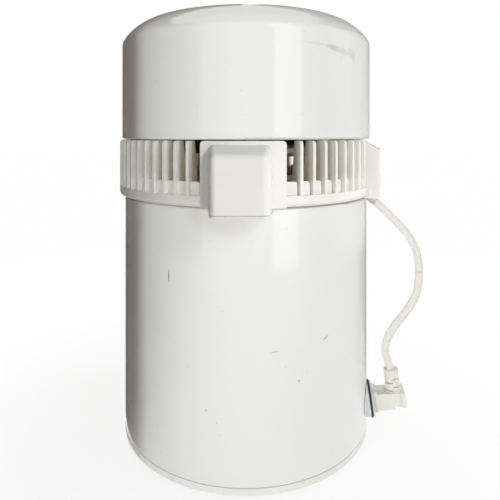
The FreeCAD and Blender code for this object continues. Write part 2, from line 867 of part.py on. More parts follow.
def blade_profile():
    """A louvre's outline: deep at its foot, narrow at its tip, its upper outer corner rounded."""
    centre = (ring_radius - blade_corner, louvre_top - blade_corner)
    foot = floor_top - floor_thickness / 2
    return outline_wire(
        (ring_radius - blade_root, foot),
        (
            (ring_radius, foot),
            (ring_radius, centre[1]),
            (corner(centre, blade_corner, 45), (centre[0], louvre_top)),
            (ring_radius - blade_tip, louvre_top),
        ),
    )


def make_blade():
    blade = Part.Face(blade_profile()).extrude(Vector(0, blade_thickness, 0))
    blade.translate(Vector(0, -blade_thickness / 2, 0))
    return turned(blade, -90.0)


def make_step():
    """The low wall beside a louvre, its free upper corner rounded."""
    outer = ring_radius - step_setback
    end = blade_thickness / 2 + step_width
    top = band_top + step_height
    wall = block(0, end, -outer, -outer + step_depth, floor_top - floor_thickness / 2, top)
    free_corner = []
    for e in edges_along(wall, outward):
        start = e.Vertexes[0].Point
        if start.x > end - seat_gap and start.z > top - seat_gap:
            free_corner.append(e)
    return wall.makeFillet(step_corner, free_corner)


def blade_places():
    """Every louvre place's azimuth, and whether it has a louvre: the nozzle and cord box take some."""
    exit_half_angle = math.degrees(math.asin(exit_half_width / ring_radius))
    places = []
    for k in range(blade_pitch_count):
        azimuth = blade_phase + k * pitch_angle
        from_nozzle = min(azimuth, 360.0 - azimuth)
        from_exit = abs(azimuth - exit_azimuth)
        clear_nozzle = from_nozzle > nozzle_half_angle + pitch_angle / 2
        clear_exit = from_exit > exit_half_angle + pitch_angle / 4
        places.append((azimuth, clear_nozzle and clear_exit))
    return places


def make_louvre_ring():
    """Moulded ring: a lower band and floor that carry the louvres, and four posts for the cover."""
    edge = (ring_radius - band_edge_radius, ring_bottom + band_edge_radius)
    band = revolved(
        (ring_inner, ring_bottom),
        (
            (edge[0], ring_bottom),
            (corner(edge, band_edge_radius, -45), (ring_radius, edge[1])),
            (ring_radius, band_top),
            (ring_inner, band_top),
            (ring_inner, floor_top),
            (floor_edge_radius, floor_top),
            (floor_hole_radius, floor_top + plate_rise),
            (floor_hole_radius, floor_bottom + plate_rise),
            (floor_edge_radius, floor_bottom),
            (ring_inner, floor_bottom),
        ),
    )
    blade = make_blade()
    step = make_step()
    pieces = []
    places = blade_places()
    for k in range(blade_pitch_count):
        azimuth, present = places[k]
        following = places[(k + 1) % blade_pitch_count][1]
        if present:
            pieces.append(turned(blade, azimuth))
        if present or following:
            pieces.append(turned(step, azimuth))
    posts = circle_points(post_circle, post_azimuths)
    for x, y in posts:
        pieces.append(disc(post_radius, floor_top - floor_thickness / 2, cover_bottom, x, y))
    ring = band.multiFuse(pieces)
    cutters = [
        sector(panel_inner, ring_radius + past, ring_bottom - past, louvre_top + past, 0.0,
               nozzle_half_angle),
        turned(block(-exit_half_width, exit_half_width, -ring_radius - past, -panel_inner,
                     ring_bottom - past, louvre_top + past), exit_azimuth),
        disc(riser_radius + riser_hole_gap, floor_bottom - past, floor_top + past,
             union_length / 2, -riser_circle),
    ]
    for x, y in posts:
        cutters.append(disc(screw_radius + seat_gap, cover_bottom - post_hole_depth,
                            cover_bottom + past, x, y))
    return ring.cut(Part.makeCompound(cutters))


def nozzle_frame(y, half, bottom, top):
    """A rectangle in an upright plane, one end of the nozzle's box."""
    corners = ((-half, bottom), (half, bottom), (half, top), (-half, top), (-half, bottom))
    return Part.makePolygon([Vector(nozzle_shift + x, y, z) for x, z in corners])


def nozzle_box(bottom, top_drop):
    """The nozzle's tapered box from the body to its front face."""
    root = body_radius + shell_wall
    back = nozzle_frame(-root, nozzle_root_half, bottom, louvre_top - nozzle_top_drop)
    front = nozzle_frame(-nozzle_face, nozzle_front_half, bottom, louvre_top - top_drop)
    return Part.makeLoft([back, front], True, True)


def front_edges(box, bottom):
    """The edges of the nozzle's front face, and those that run back from it, apart from the lowest."""
    chosen = []
    for e in box.Edges:
        points = [v.Point for v in e.Vertexes]
        on_front = [p.y < -nozzle_face + seat_gap for p in points]
        low = [p.z < bottom + seat_gap for p in points]
        if any(on_front) and not all(low):
            chosen.append(e)
    return chosen


def make_nozzle_housing():
    """Outlet nozzle: a panel that fills the ring, and a tapered box with a pocket for the filter cup."""
    panel = sector(panel_inner, ring_radius + nozzle_panel_proud, ring_bottom, louvre_top, 0.0,
                   nozzle_half_angle)
    panel_corners = []
    for e in panel.Edges:
        points = [v.Point for v in e.Vertexes]
        on_top = all(p.z > louvre_top - seat_gap for p in points)
        reach = [math.hypot(p.x, p.y) for p in points]
        if on_top and max(reach) - min(reach) > panel_depth / 2:
            panel_corners.append(e)
    panel = panel.makeFillet(nozzle_panel_corner, panel_corners)
    box = nozzle_box(nozzle_bottom, nozzle_front_lower)
    box = box.makeFillet(nozzle_round, front_edges(box, nozzle_bottom))
    housing = panel.fuse(box)
    pocket = rounded_pocket(cup_width + 2 * fit_gap, cup_deep + 2 * fit_gap, nozzle_bottom - past,
                            outlet_height, cup_corner)
    channel = out_cylinder(outlet_radius + outlet_channel_gap, panel_inner - past, cup_centre,
                           outlet_height, -union_length / 2)
    return housing.cut(pocket).cut(channel)


def rounded_pocket(width, deep, bottom, top, radius):
    """An upright block with rounded corners at the filter cup's place."""
    shape = block(-width / 2, width / 2, -cup_centre - deep / 2, -cup_centre + deep / 2, bottom, top)
    return shape.makeFillet(radius, edges_along(shape, upward))


def make_filter_cup():
    """Cup for the charcoal sachet, pushed up into the nozzle from below, on a foot plate that shuts it."""
    cup = rounded_pocket(cup_width, cup_deep, cup_bottom, cup_top, cup_corner)
    outline = nozzle_box(cup_bottom, nozzle_front_lower)
    outline = outline.makeFillet(nozzle_round, front_edges(outline, cup_bottom))
    around = 2 * nozzle_root_half
    slab = block(-around, around, -nozzle_face - past, 0, cup_bottom, cup_bottom + cup_flange)
    plate = outline.common(slab)
    inside = rounded_pocket(cup_width - 2 * cup_wall, cup_deep - 2 * cup_wall, cup_bottom + cup_flange,
                            cup_top + past, cup_corner - cup_wall)
    spout = disc(cup_spout_radius, cup_bottom - past, cup_bottom + cup_flange + seat_gap, 0, -cup_centre)
    return cup.fuse(plate).cut(inside).cut(spout)


def make_charcoal_sachet():
    floor = cup_bottom + cup_flange
    around = cup_wall + sachet_gap
    return rounded_pocket(cup_width - 2 * around, cup_deep - 2 * around, floor, floor + sachet_height,
                          cup_corner - around)


def make_cord_exit_box():
    """Moulded box on the ring's side that the fan cord comes down out of."""
    outer = ring_radius + exit_reach
    top = louvre_top - nozzle_top_drop
    side = exit_half_width + past
    box = block(-exit_half_width, exit_half_width, -outer, -panel_inner, exit_bottom, top)
    bevel = Part.Face(Part.makePolygon([
        Vector(-side, -outer - past, top - exit_bevel_height),
        Vector(-side, -outer - past, top + past),
        Vector(-side, -outer + exit_bevel_depth, top + past),
        Vector(-side, -outer + exit_bevel_depth, top),
        Vector(-side, -outer + exit_bevel_lean, top - exit_bevel_height),
        Vector(-side, -outer - past, top - exit_bevel_height)]))
    box = box.cut(bevel.extrude(Vector(2 * side, 0, 0)))
    upright = []
    for e in box.Edges:
        points = [v.Point for v in e.Vertexes]
        if abs(points[0].z - points[-1].z) > exit_bevel_height + past and points[0].y < -outer + seat_gap:
            upright.append(e)
    box = turned(box.makeFillet(exit_round, upright), exit_azimuth)
    return box.cut(disc(body_radius + shell_wall, 0, ring_bottom)).cut(make_cord_gland())


def make_steam_plate():
    """Stainless underside of the head: a skirt in the tank's mouth and a low cone above it."""
    top = floor_bottom
    under = top - plate_sheet
    skirt_inner = skirt_outer - plate_sheet
    plate = revolved(
        (0, under + plate_rise),
        (
            (floor_hole_radius, under + plate_rise),
            (floor_edge_radius, under),
            (skirt_inner, under),
            (skirt_inner, under - skirt_depth),
            (skirt_outer, under - skirt_depth),
            (skirt_outer, under),
            (tank_flange_radius, under),
            (tank_flange_radius, top),
            (floor_edge_radius, top),
            (floor_hole_radius, top + plate_rise),
            (0, top + plate_rise),
        ),
    )
    riser = disc(riser_radius, under - past, top + 2 * past, union_length / 2, -riser_circle)
    return plate.cut(riser)


def make_lid_gasket():
    seat = floor_bottom - plate_sheet
    return tube(tank_flange_radius - gasket_setback, skirt_outer, seat - gasket_tall, seat)


def crown_outline(radius, start_height, inset):
    """The cover's crown from its shoulder to the axis: tangent arcs that flatten towards the middle."""
    r = radius - inset
    z = start_height
    heading = 90.0
    steps = []
    for target, arc_radius in zip(crown_angles, crown_radii):
        bend = arc_radius - inset
        steps.append(bend_step(r, z, heading, target, bend))
        r, z = steps[-1][1]
        heading = target
    last = r / math.sin(math.radians(heading))
    steps.append(bend_step(r, z, heading, 0.0, last))
    return steps


def bend_step(r, z, heading, target, radius):
    """One arc that turns from one heading to another, as (middle point, end point)."""
    def place(angle):
        inward = radius * (math.sin(math.radians(heading)) - math.sin(math.radians(angle)))
        up = radius * (math.cos(math.radians(angle)) - math.cos(math.radians(heading)))
        return (r - inward, z + up)
    end = place(target)
    if target == 0.0:
        end = (0.0, end[1])
    return (place((heading + target) / 2), end)


def make_head_cover():
    """Deep-drawn enamelled cover with a turned-in hem that rests on the posts."""
    centre = (cover_radius - cover_hem_radius, cover_bottom + cover_hem_radius)
    inner_bend = cover_hem_radius - cover_wall
    outside = crown_outline(cover_radius, shoulder, 0.0)
    inside = crown_outline(cover_radius, shoulder, cover_wall)
    steps = [(corner(centre, cover_hem_radius, -45), (cover_radius, centre[1])), (cover_radius, shoulder)]
    steps += outside
    steps.append(inside[-1][1])
    ends = [(cover_radius - cover_wall, shoulder)] + [s[1] for s in inside]
    for k in range(len(inside) - 1, -1, -1):
        steps.append((inside[k][0], ends[k]))
    steps.append((cover_radius - cover_wall, centre[1]))
    steps.append((corner(centre, inner_bend, -45), (centre[0], hem_top)))
    steps.append((hem_inner, hem_top))
    steps.append((hem_inner, cover_bottom))
    cover = revolved((centre[0], cover_bottom), steps)
    for x, y in circle_points(post_circle, post_azimuths):
        hole = disc(screw_radius + screw_hole_gap, cover_bottom - past, hem_top + past, x, y)
        cover = cover.cut(hole)
    return cover


def make_cover_screws():
    screws = []
    for x, y in circle_points(post_circle, post_azimuths):
        head = disc(screw_head_radius, hem_top, hem_top + screw_head_height, x, y)
        screws.append(head.fuse(disc(screw_radius, cover_bottom - cover_screw_length, hem_top, x, y)))
    return Part.makeCompound(screws)


# ---------------------------------------------------------------- condenser

def coil_point(azimuth, level):
    angle = math.radians(azimuth - 90.0)
    height = coil_start + coil_pitch * level
    return Vector(coil_radius * math.cos(angle), coil_radius * math.sin(angle), height)


def coil_heading(azimuth):
    angle = math.radians(azimuth)
    return Vector(math.cos(angle), math.sin(angle), 0)


def level_arc(start, end, level):
    """Part of a level turn, cut at its middle so that each piece is under half a turn."""
    middle = (start + end) / 2
    edges = []
    for low, high in ((start, middle), (middle, end)):
        edges.append(Part.Arc(coil_point(low, level), coil_point((low + high) / 2, level),
                              coil_point(high, level)).toShape())
    return edges


def crossover(level):
    """The rise at the back from one level to the next."""
    start = coil_point(180.0 - crossover_half_angle, level)
    end = coil_point(180.0 + crossover_half_angle, level + 1)
    lead_in = start + coil_heading(180.0 - crossover_half_angle) * crossover_lead
    lead_out = end - coil_heading(180.0 + crossover_half_angle) * crossover_lead
    return route_edges([start, lead_in, lead_out, end])[0]


def make_condenser_coil():
    """Level turns joined by rises at the back; both ends are at the front."""
    before = 180.0 - crossover_half_angle
    after = 180.0 + crossover_half_angle
    edges = level_arc(0.0, before, 0) + crossover(0) + level_arc(after, 360.0 + before, 1)
    edges += crossover(1) + level_arc(after, 360.0, 2)
    ring = Part.Wire(Part.Circle(coil_point(0.0, 0), across, coil_tube).toShape())
    return Part.Wire(edges).makePipeShell([ring], True, True)


def make_condenser_fins():
    """Upright plates that the coil threads through."""
    plate = block(-fin_thickness / 2, fin_thickness / 2, -fin_outer, -fin_inner, fin_bottom, fin_top)
    fins = []
    for k in fin_places:
        azimuth = fin_angle * k
        first = 0 if azimuth < 180.0 else 1
        fin = plate
        for level in (first, first + 1):
            centre = Vector(-fin_thickness, -coil_radius, coil_start + coil_pitch * level)
            hole = Part.makeCylinder(coil_tube + fin_hole_gap, 2 * fin_thickness, centre, across)
            fin = fin.cut(hole)
        fins.append(turned(fin, azimuth))
    return Part.makeCompound(fins)


def make_coil_straps():
    """Stainless strips from the ring floor that hold the finned coil."""
    half_angle = math.degrees(strap_width / 2 / fin_outer)
    straps = [
        sector(fin_outer + seat_gap, strap_outer, floor_top, fin_top, azimuth, half_angle)
        for azimuth in strap_azimuths
    ]
    return Part.makeCompound(straps)


def make_coil_unions():
    """Silicone elbows on the coil's two ends, to the steam riser and to the outlet tube."""
    half = union_size / 2
    lower = block(-union_length, 0, -coil_radius - half, -coil_radius + half,
                  coil_start - half, coil_start + half)
    upper = block(0, union_length, -coil_radius - half, -riser_circle + half,
                  coil_end - half, coil_end + half)
    shapes = []
    for shape in (lower, upper):
        shapes.append(shape.makeFillet(union_round, edges_along(shape, across)))
    return Part.makeCompound(shapes)


def make_steam_riser():
    low = floor_bottom - plate_sheet - riser_entry
    return tube(riser_radius, riser_radius - coil_wall, low, coil_end - union_size / 2,
                union_length / 2, -riser_circle)


def make_outlet_tube():
    """Stainless tube from the coil's lower elbow to an open end above the filter cup."""
    start = coil_radius + union_size / 2
    x = -union_length / 2
    bar = out_cylinder(outlet_radius, start, cup_centre, outlet_height, x)
    bore = out_cylinder(outlet_radius - coil_wall, start + coil_wall, cup_centre + past, outlet_height, x)
    return bar.cut(bore)


# ---------------------------------------------------------------- fan

def make_motor_bracket():
    """Steel strip across the head: feet on the cover's hem, two legs and a bridge for the motor."""
    leg_outer = hem_inner + bracket_setback
    leg_inner = leg_outer - bracket_sheet
    half = bracket_width / 2
    bridge = block(-leg_outer, leg_outer, -half, half, bracket_top - bracket_sheet, bracket_top)
    parts = []
    for side in (-1, 1):
        low, high = sorted((side * leg_inner, side * leg_outer))
        parts.append(block(low, high, -half, half, hem_top, bracket_top))
        low, high = sorted((side * leg_inner, side * (leg_outer + bracket_foot)))
        parts.append(block(low, high, -half, half, hem_top, hem_top + bracket_sheet))
    return bridge.multiFuse(parts).removeSplitter()


rotor_bottom = motor_bottom + bearing_height + rotor_play


def make_fan_motor():
    """Motor body with its rotor space and two plain bearings, hung under the bracket."""
    cavity_low = motor_bottom + bearing_height
    cavity_high = rotor_bottom + rotor_height + rotor_play
    bore = shaft_radius + bearing_gap
    space = rotor_radius + rotor_gap
    edge = (motor_radius - motor_corner, motor_bottom + motor_corner)
    return revolved(
        (bore, motor_bottom),
        (
            (edge[0], motor_bottom),
            (corner(edge, motor_corner, -45), (motor_radius, edge[1])),
            (motor_radius, motor_top),
            (0, motor_top),
            (0, motor_top - motor_roof),
            (bore, motor_top - motor_roof),
            (bore, cavity_high),
            (space, cavity_high),
            (space, cavity_low),
            (bore, cavity_low),
        ),
    )


def make_motor_rotor():
    return tube(rotor_radius, shaft_radius, rotor_bottom, rotor_bottom + rotor_height)


def make_motor_shaft():
    return disc(shaft_radius, motor_bottom - shaft_below_motor, motor_top - motor_roof - shaft_end_play)


def make_fan_blade():
    """Five pitched blades on a hub."""
    hub_top = motor_bottom - fan_below_motor
    middle = hub_top - fan_hub_height / 2
    blades = []
    for k in range(fan_blade_count):
        plate = block(fan_hub_radius - fan_blade_root, fan_radius, -fan_blade_chord / 2, fan_blade_chord / 2,
                      -fan_blade_sheet / 2, fan_blade_sheet / 2)
        tips = [e for e in edges_along(plate, upward) if e.Vertexes[0].X > fan_radius - seat_gap]
        plate = plate.makeFillet(fan_blade_corner, tips)
        plate.rotate(Vector(0, 0, 0), across, fan_blade_angle)
        plate.translate(Vector(0, 0, middle))
        blades.append(turned(plate, 360.0 * k / fan_blade_count))
    hub = disc(fan_hub_radius, hub_top - fan_hub_height, hub_top)
    fan = hub.multiFuse(blades)
    return fan.cut(disc(shaft_radius, hub_top - fan_hub_height - past, hub_top + past))


def make_fan_nut():
    top = motor_bottom - fan_below_motor - fan_hub_height
    return hexagon(fan_nut_across, top - fan_nut_height, top, 0, 0, shaft_radius)


def make_all():
    return {
        "outer_shell": make_outer_shell(),
        "base_pan": make_base_pan(),
        "rubber_feet": make_rubber_feet(),
        "foot_screws": make_foot_screws(),
        "boiling_tank": make_boiling_tank(),
        "heating_element": make_heating_element(),
        "heater_clamp": make_heater_clamp(),
        "heater_studs": make_heater_studs(),
        "heater_nuts": make_heater_nuts(),
        "control_thermostat": make_thermostat(-thermostat_offset),
        "safety_thermostat": make_thermostat(thermostat_offset),
        "mains_inlet": make_mains_inlet(),
        "inlet_pins": make_inlet_pins(),
        "inlet_screws": make_inlet_screws(),
        "reset_bezel": make_reset_bezel(),
        "reset_button": make_reset_button(),
        "cutout_switch": make_cutout_switch(),
        "socket_bezel": make_socket_bezel(),
        "socket_gasket": make_socket_gasket(),
        "socket_face": make_socket_face(),
        "socket_insert": make_socket_insert(),
        "socket_contacts": make_socket_contacts(),
        "plug_body": make_plug_body(),
        "plug_pins": make_plug_pins(),
        "plug_boot": make_plug_boot(),
        "fan_cord_upper": make_cord(cord_upper_route, "fan_cord_upper"),
        "fan_cord_lower": make_cord(cord_lower_route, "fan_cord_lower").cut(make_plug_boot()),
        "cord_gland": make_cord_gland(),
        "cord_exit_box": make_cord_exit_box(),
        "louvre_ring": make_louvre_ring(),
        "nozzle_housing": make_nozzle_housing(),
        "filter_cup": make_filter_cup(),
        "charcoal_sachet": make_charcoal_sachet(),
        "steam_plate": make_steam_plate(),
        "lid_gasket": make_lid_gasket(),
        "head_cover": make_head_cover(),
        "cover_screws": make_cover_screws(),
        "condenser_coil": make_condenser_coil(),
        "condenser_fins": make_condenser_fins(),
        "coil_straps": make_coil_straps(),
        "coil_unions": make_coil_unions(),
        "steam_riser": make_steam_riser(),
        "outlet_tube": make_outlet_tube(),
        "motor_bracket": make_motor_bracket(),
        "fan_motor": make_fan_motor(),
        "motor_rotor": make_motor_rotor(),
        "motor_shaft": make_motor_shaft(),
        "fan_blade": make_fan_blade(),
        "fan_nut": make_fan_nut(),
    }


os.makedirs("parts", exist_ok=True)
for name, shape in make_all().items():
    shape.exportStep(os.path.join("parts", name + ".step"))
    print(name, len(shape.Solids), "solids, valid", shape.isValid(), "volume", round(shape.Volume, 1))
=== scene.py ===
import json
import math

import bpy
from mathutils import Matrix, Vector


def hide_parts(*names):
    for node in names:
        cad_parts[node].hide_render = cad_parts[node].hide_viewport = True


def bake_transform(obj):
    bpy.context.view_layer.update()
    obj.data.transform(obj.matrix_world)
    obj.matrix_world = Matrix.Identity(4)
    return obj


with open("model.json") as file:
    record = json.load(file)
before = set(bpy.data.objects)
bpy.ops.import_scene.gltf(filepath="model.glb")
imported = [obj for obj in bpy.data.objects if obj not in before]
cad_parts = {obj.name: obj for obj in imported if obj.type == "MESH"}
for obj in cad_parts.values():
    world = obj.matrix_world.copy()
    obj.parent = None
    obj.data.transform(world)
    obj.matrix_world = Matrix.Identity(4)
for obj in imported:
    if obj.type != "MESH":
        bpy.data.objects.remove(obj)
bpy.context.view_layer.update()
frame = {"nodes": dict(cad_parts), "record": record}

# Sizes are in metres. An azimuth is in degrees, from the front towards +X. Colours are linear.

# ---------------------------------------------------------------- camera
CAMERA_DISTANCE = 0.465     # from the body's axis
CAMERA_HEIGHT = 0.2658
CAMERA_AZIMUTH = 1.0
CAMERA_SENSOR = 36.0        # millimetres, as is the lens
CAMERA_LENS = 34.86
CAMERA_SHIFT_X = 0.008
CAMERA_SHIFT_Y = -0.232

# ---------------------------------------------------------------- places repeated from the part's source
SERVICE_AZIMUTH = 82.5      # the cord's side
CORD_DIAMETER = 0.007
BODY_RADIUS = 0.11225
COVER_RADIUS = 0.115
CORD_UPPER_ROUTE = (        # distance from the axis, height
    (0.1195, 0.2048),
    (0.1340, 0.1910),
    (0.1490, 0.1755),
    (0.1560, 0.1635),
    (0.1594, 0.1515),
    (0.1594, 0.1405),
)
CORD_LOWER_ROUTE = (
    (0.1594, 0.1405),
    (0.1594, 0.1285),
    (0.1561, 0.1165),
    (0.1495, 0.1050),
    (0.1385, 0.0910),
    (0.1322, 0.0800),
    (0.1295, 0.0715),
    (0.1299, 0.0625),
    (0.1342, 0.0505),
)
CORD_CURVE_STEPS = 10       # between two points of a route
CORD_SIDES = 24

# ---------------------------------------------------------------- light
# Of each lamp: azimuth, elevation in degrees, distance from where it faces the axis, width, height, watts.
WINDOW = (33.4, 0.0, 0.595, 0.222, 0.85, 0.68)
WINDOW_TARGET = 0.455       # the height that the window faces
LAMP_TARGET = 0.20          # the height that the other lamps face
LAMPS = {
    "key": (0.0, 10.0, 1.70, 0.45, 0.45, 2.6),          # the whole front, evenly
    "fill": (-25.0, -4.0, 1.20, 0.10, 0.10, 4.9),       # the enamel left of the middle
    "side": (112.0, 12.0, 0.70, 0.25, 0.50, 2.8),       # the right edge and the plug
    "high": (37.0, 33.0, 1.50, 0.30, 0.30, 3.0),        # from above, the head's right shoulder
    "back": (210.0, 8.0, 0.68, 0.30, 0.50, 2.4),        # the side that the photo doesn't show
    "grille": (6.0, 4.0, 1.20, 0.10, 0.10, 3.8),        # this and the next three: see LIT_ALONE
    "spout": (20.0, 4.0, 1.20, 0.10, 0.10, 3.5),
    "body": (50.0, 4.0, 1.20, 0.10, 0.10, 0.50),
    "top": (0.0, 80.0, 1.50, 0.50, 0.50, 2.2),
}
LIT_ALONE = {               # what these lamps light, and nothing else
    "grille": ("louvre_ring",),
    "spout": ("nozzle_housing", "filter_cup", "cord_exit_box"),
    "body": ("outer_shell",),
    "top": ("head_cover",),
}
BEHIND_GRILLE = ("condenser_coil", "condenser_fins", "coil_unions", "coil_straps", "steam_riser",
                 "steam_plate", "outlet_tube", "motor_bracket", "fan_motor", "motor_rotor",
                 "fan_blade", "boiling_tank")
LEFT_UNLIT = {              # what these lamps don't light, though they light the rest
    "fill": LIT_ALONE["grille"] + LIT_ALONE["spout"] + BEHIND_GRILLE,
    "back": ("plug_body", "plug_boot", "cord_exit_box"),
}
WORLD_LIGHT = 0.23          # strength of the world where it lights surfaces

# ---------------------------------------------------------------- stage
FLOOR_REACH = 8.0
PAPER_FADE = (0.13, 0.34)   # from the axis: the floor's own glow grows from the first to the second
PAPER_GLOW = 0.86           # its share inside the first
SCREEN_DISTANCE = 0.75
SCREEN_HEIGHT = 1.3
ARC_STEP = 7.0              # degrees between the corners of a screen or a card
CARD_INNER = 0.118          # from here a card reaches out to the screens
CARD_HEIGHT = 0.0006
FLAG_AZIMUTH = -48.5        # where the flag's shadow ends on the body
FLAG_STANDOFF = 0.16
FLAG_WIDTH = 0.45
FLAG_BOTTOM = 0.02
FLAG_TOP = 0.50
WEAVE_DARK = (0.2, 0.2, 0.2)            # between the threads of the screens and cards

# ---------------------------------------------------------------- dust, grime, painted shade and enamel
# The grille's inner colour is dust and also painted shade, for the warm shadow deep between the blades.
RING_DUST_AND_SHADE_REACH = (0.1085, 0.1145)      # from the axis: dust and painted shade inside the first, clean outside the second
RING_DUST_AND_SHADE = (0.56, 0.48, 0.36)
METAL_DUST_HEIGHT = (0.226, 0.240)      # dusty below the first, mostly bare above the second
METAL_DUST_FLOOR = (0.198, 0.204)       # no dust below the first, where the boiler's inside begins
METAL_DUST = (0.60, 0.52, 0.39)
SEAM_GRIME_HEIGHT = 0.0010              # of the dark line where the shell meets the base
SEAM_GRIME = (0.26, 0.25, 0.22)
TARNISH = (0.30, 0.26, 0.20)            # on metal
ENAMEL_WHITE = (0.775, 0.785, 0.75)
ENAMEL_SHADE = (0.76, 0.77, 0.74)       # in wide, faint patches
ENAMEL_SPECK = (0.40, 0.34, 0.26)
ENAMEL_BLOOM = (0.52, 0.46, 0.36)       # thin soiling
MARK_GRAIN = 620.0                      # scale of the noise that breaks a mark's edge
MARK_EDGE = (0.10, 1.15)                # a mark fades between these shares of its squared radius


def outward(azimuth):
    """Unit vector away from the axis at an azimuth from the front."""
    angle = math.radians(azimuth)
    return Vector((math.sin(angle), -math.cos(angle), 0))


def on_side(place):
    """The place of a route point, which is given as distance from the axis and height."""
    return outward(SERVICE_AZIMUTH) * place[0] + Vector((0, 0, place[1]))


# ---------------------------------------------------------------- material helpers
class Nodes:
    """A material's node tree, with short calls for the nodes that the finishes share."""

    def __init__(self, name, color, roughness, metallic=0.0):
        self.material = bpy.data.materials.new(name)
        self.material.use_nodes = True
        self.tree = self.material.node_tree
        self.shader = self.tree.nodes["Principled BSDF"]
        self.shader.inputs["Base Color"].default_value = (*color, 1)
        self.shader.inputs["Roughness"].default_value = roughness
        self.shader.inputs["Metallic"].default_value = metallic
        self.place = self.node("ShaderNodeTexCoord").outputs["Object"]

    def node(self, kind, **values):
        made = self.tree.nodes.new(kind)
        for key, value in values.items():
            setattr(made, key, value)
        return made

    def link(self, a, b):
        self.tree.links.new(a, b)

    def noise(self, scale, detail=3.0, roughness=0.55, stretch=(1, 1, 1)):
        """Noise over the object's own coordinates, finer along an axis that is stretched."""
        mapping = self.node("ShaderNodeMapping")
        mapping.inputs["Scale"].default_value = stretch
        self.link(self.place, mapping.inputs["Vector"])
        made = self.node("ShaderNodeTexNoise")
        made.inputs["Scale"].default_value = scale
        made.inputs["Detail"].default_value = detail
        made.inputs["Roughness"].default_value = roughness
        self.link(mapping.outputs["Vector"], made.inputs["Vector"])
        return made.outputs["Fac"]

    def ramp(self, value, low, high, from_value=0.0, to_value=1.0):
        """A smooth step between two values of a socket."""
        made = self.node("ShaderNodeMapRange", interpolation_type="SMOOTHSTEP")
        made.inputs["From Min"].default_value = low
        made.inputs["From Max"].default_value = high
        made.inputs["To Min"].default_value = from_value
        made.inputs["To Max"].default_value = to_value
        self.link(value, made.inputs["Value"])
        return made.outputs["Result"]

    def math(self, operation, a, b):
        """One operation on two values; each is a number or a socket."""
        made = self.node("ShaderNodeMath", operation=operation)
        for socket, value in zip(made.inputs, (a, b)):
            if isinstance(value, (int, float)):
                socket.default_value = value
            else:
                self.link(value, socket)
        return made.outputs["Value"]

    def mix(self, factor, a, b):
        """Two colours mixed by a socket; each is a colour or a socket."""
        made = self.node("ShaderNodeMix", data_type="RGBA")
        self.link(factor, made.inputs["Factor"])
        for key, value in (("A", a), ("B", b)):
            socket = [s for s in made.inputs if s.name == key and s.type == "RGBA"][0]
            if isinstance(value, tuple):
                socket.default_value = (*value, 1)
            else:
                self.link(value, socket)
        return [s for s in made.outputs if s.type == "RGBA"][0]

    def color(self, socket):
        self.link(socket, self.shader.inputs["Base Color"])

    def rough(self, socket):
        self.link(socket, self.shader.inputs["Roughness"])

    def surface(self, socket):
        """Show this instead of the Principled shader alone."""
        output = [n for n in self.tree.nodes if n.type == "OUTPUT_MATERIAL"][0]
        self.link(socket, output.inputs["Surface"])

    def bump(self, height, strength, distance):
        """Raise the surface by a socket, on top of any bump that is already there."""
        made = self.node("ShaderNodeBump")
        made.inputs["Strength"].default_value = strength
        made.inputs["Distance"].default_value = distance
        self.link(height, made.inputs["Height"])
        previous = self.shader.inputs["Normal"].links
        if previous:
            self.link(previous[0].from_socket, made.inputs["Normal"])
        self.link(made.outputs["Normal"], self.shader.inputs["Normal"])

    def axes(self):
        """The object's own X, Y and Z."""
        made = self.node("ShaderNodeSeparateXYZ")
        self.link(self.place, made.inputs[0])
        return made.outputs

    def azimuth(self):
        """The azimuth of a point, in radians."""
        axes = self.axes()
        return self.math("ARCTAN2", axes["X"], self.math("MULTIPLY", axes["Y"], -1.0))

    def reach(self):
        """The distance of a point from the axis."""
        flat = self.node("ShaderNodeVectorMath", operation="MULTIPLY")
        flat.inputs[1].default_value = (1, 1, 0)
        self.link(self.place, flat.inputs[0])
        length = self.node("ShaderNodeVectorMath", operation="LENGTH")
        self.link(flat.outputs[0], length.inputs[0])
        return length.outputs["Value"]

    def two_tones(self, start, end, start_color, end_color, weave_scale, weave):
        """Woven cloth or card that goes from one colour at an azimuth to another at a second one."""
        low, high = sorted((math.radians(start), math.radians(end)))
        share = self.ramp(self.azimuth(), low, high)
        at_low, at_high = (start_color, end_color) if end > start else (end_color, start_color)
        threads = self.ramp(self.noise(weave_scale), 0.3, 0.7, 0.0, weave)
        return self.mix(threads, self.mix(share, at_low, at_high), WEAVE_DARK)

    def round_wall(self, radius):
        """Distance round the axis from the front, and height, for a wall of this radius."""
        return self.math("MULTIPLY", self.azimuth(), radius), self.axes()["Z"]

    def mark(self, wall, radius, azimuth, height, length, width, tilt, ragged=2.4):
        """A soft-edged patch on a round wall: 1 inside, 0 outside, its edge broken by noise."""
        along, up = wall
        dx = self.math("SUBTRACT", along, math.radians(azimuth) * radius)
        dz = self.math("SUBTRACT", up, height)
        c = math.cos(math.radians(tilt))
        s = math.sin(math.radians(tilt))
        a = self.math("ADD", self.math("MULTIPLY", dx, c), self.math("MULTIPLY", dz, s))
        b = self.math("SUBTRACT", self.math("MULTIPLY", dz, c), self.math("MULTIPLY", dx, s))
        a = self.math("POWER", self.math("DIVIDE", a, length / 2), 2.0)
        b = self.math("POWER", self.math("DIVIDE", b, width / 2), 2.0)
        grain = self.math("SUBTRACT", self.noise(MARK_GRAIN, 6.0, 0.75), 0.5)
        spread = self.math("ADD", self.math("ADD", a, b), self.math("MULTIPLY", grain, ragged))
        return self.ramp(spread, *MARK_EDGE, 1.0, 0.0)


